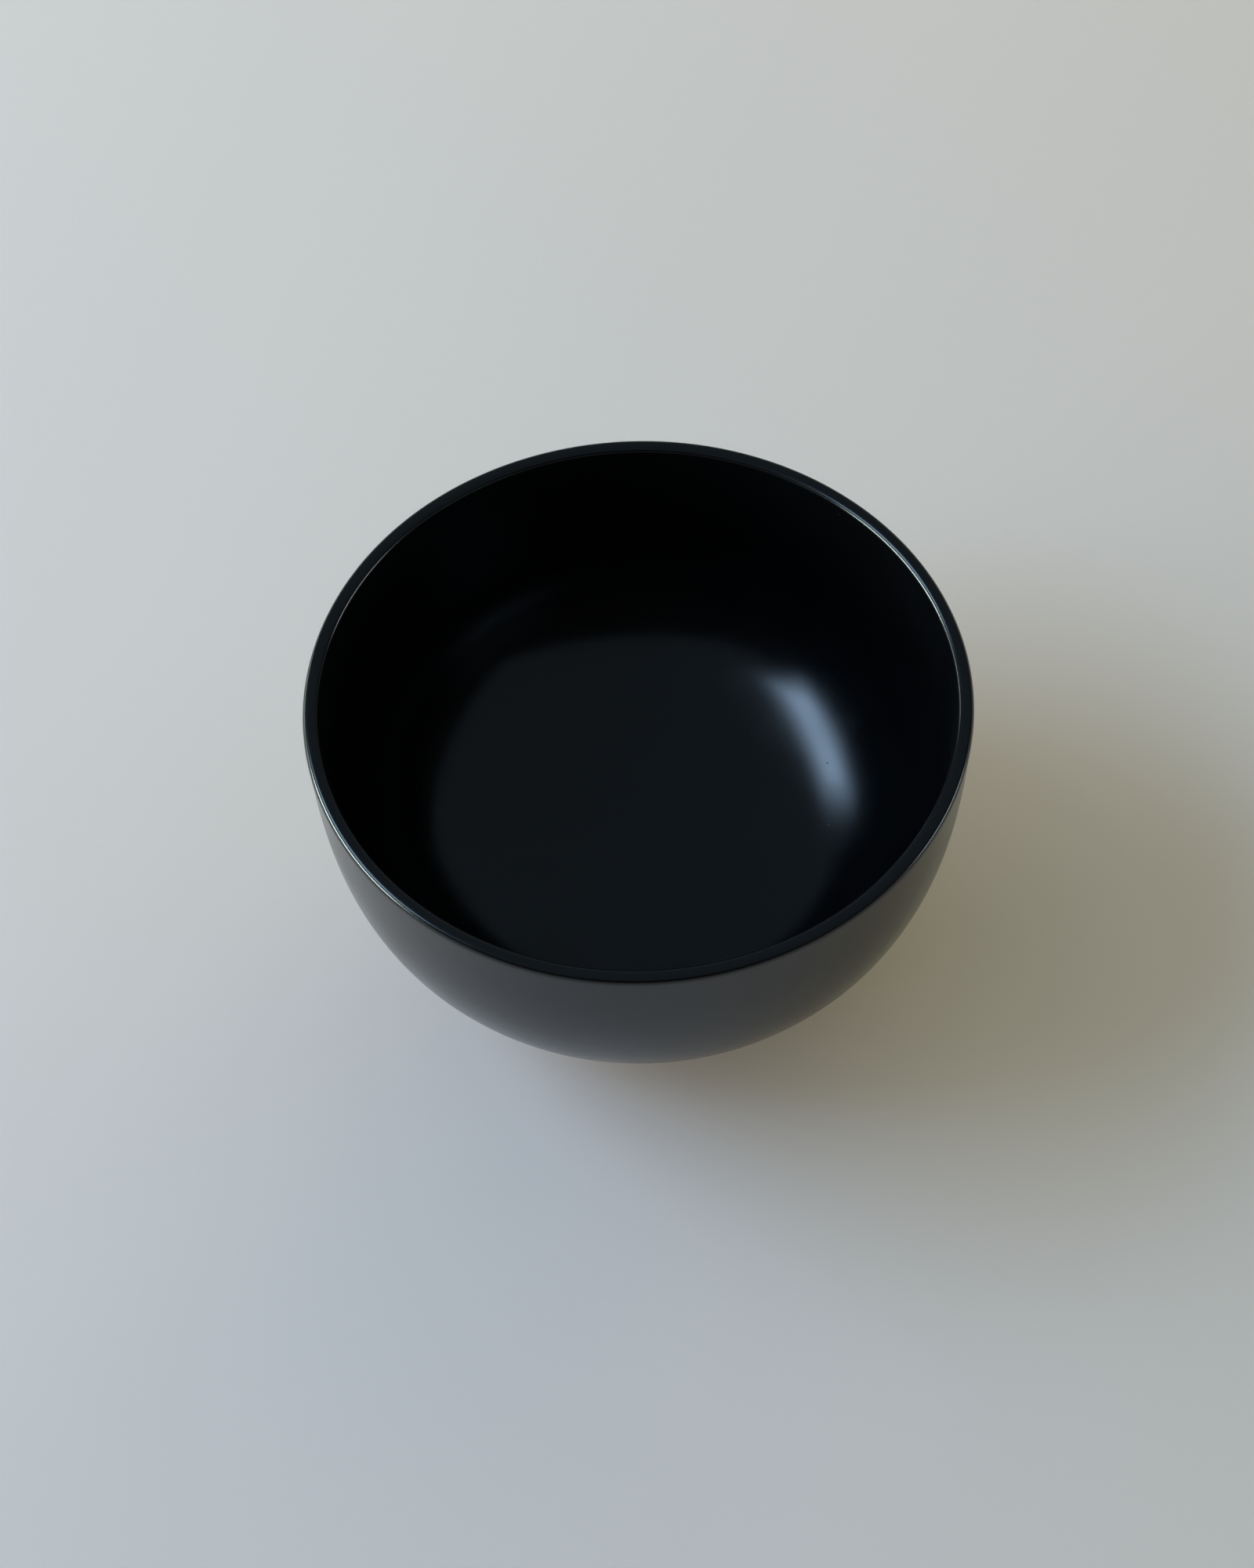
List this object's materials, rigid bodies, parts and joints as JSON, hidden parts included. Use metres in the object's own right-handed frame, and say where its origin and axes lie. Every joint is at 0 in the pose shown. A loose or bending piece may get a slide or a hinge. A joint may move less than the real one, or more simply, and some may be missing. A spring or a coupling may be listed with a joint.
{
  "type": "rice bowl",
  "caption": "Deep round rice bowl with a nearly upright wall, a flat-topped lip and a low foot ring, satin black inside and out.",
  "frame": {"origin": "centre of the foot ring's resting face, on the surface that the bowl stands on", "axes": "+Z is the turning axis and points up, out of the bowl's mouth; X and Y are free, because the bowl is round"},
  "size_m": [0.12, 0.12, 0.061],
  "materials": {
    "body_coat": "satin black sprayed coat",
    "foot_coat": "satin black sprayed coat, worn duller where it rests"
  },
  "bodies": {
    "root": {"bowl_body": "body_coat", "foot_ring": "foot_coat"}
  },
  "joints": []
}
